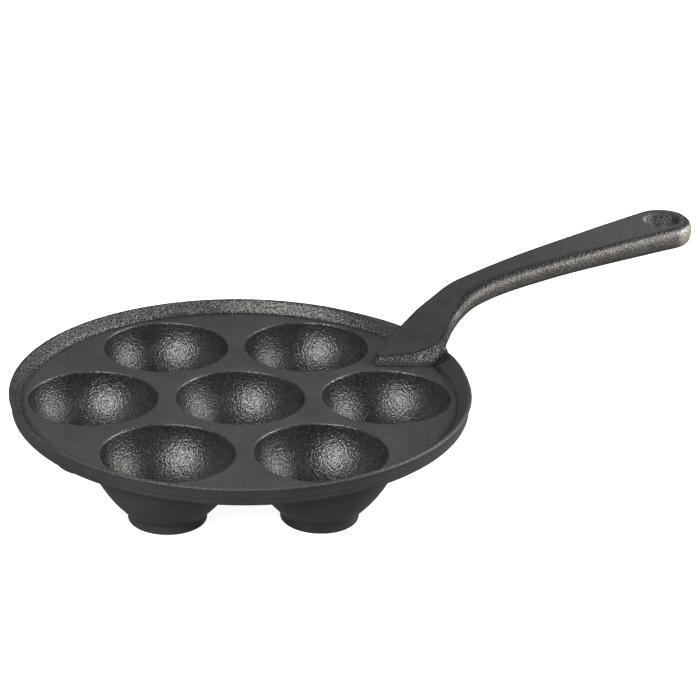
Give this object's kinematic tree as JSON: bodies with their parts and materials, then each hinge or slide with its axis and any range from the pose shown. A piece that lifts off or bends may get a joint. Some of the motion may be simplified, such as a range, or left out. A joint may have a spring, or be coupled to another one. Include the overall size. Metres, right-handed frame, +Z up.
{
  "type": "stovetop muffin pan",
  "caption": "Round cast-iron stovetop pan with half-round footed cups sunk in a rimmed deck, and a long rising handle with a hanging hole.",
  "frame": {"origin": "on the pan's axis, at the level that the cups' feet stand on", "axes": "+X along the handle, +Y across the pan, +Z up out of the cups"},
  "size_m": [0.3514, 0.2004, 0.0695],
  "materials": {
    "cup_iron": "dark seasoned cast iron with a fine orange-peel grain from the sand mould",
    "deck_iron": "smooth matte dark-grey cast iron with a few fine pits",
    "handle_iron": "dark cast iron, smooth on top and slightly warm and rough on the sides"
  },
  "bodies": {
    "root": {"cup_centre": "cup_iron", "cup_1": "cup_iron", "cup_2": "cup_iron", "cup_3": "cup_iron", "cup_4": "cup_iron", "cup_5": "cup_iron", "cup_6": "cup_iron", "deck_plate": "deck_iron", "rim_wall": "deck_iron", "handle": "handle_iron"}
  },
  "joints": []
}
